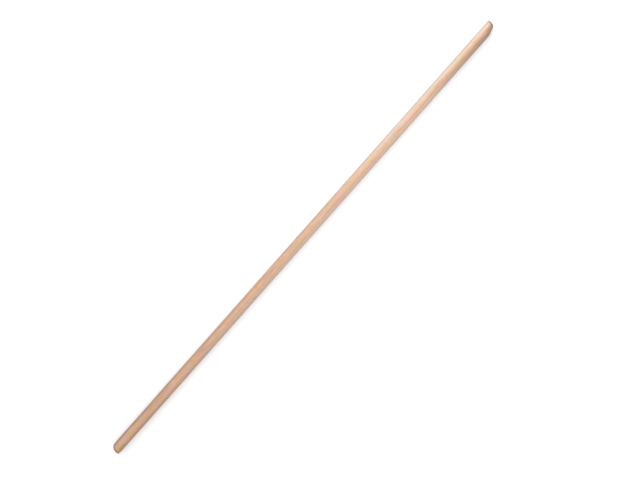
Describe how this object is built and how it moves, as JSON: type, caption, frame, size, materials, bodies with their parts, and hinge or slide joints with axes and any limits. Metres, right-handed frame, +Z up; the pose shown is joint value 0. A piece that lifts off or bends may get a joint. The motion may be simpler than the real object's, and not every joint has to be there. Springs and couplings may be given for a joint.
{
  "type": "wooden roller pole",
  "caption": "Plain round hardwood pole for a paint roller, with one end tapered on one side and rounded, and the butt end rounded over.",
  "frame": {"origin": "on the pole's axis, at the middle of its length", "axes": "+X along the pole to its tapered working end, +Z up as it lies, so the taper takes its wood from the -Y side"},
  "size_m": [1.2, 0.022, 0.022],
  "materials": {
    "bare_beech": "turned and sanded, bare"
  },
  "bodies": {
    "root": {"wooden_pole": "bare_beech"}
  },
  "joints": []
}
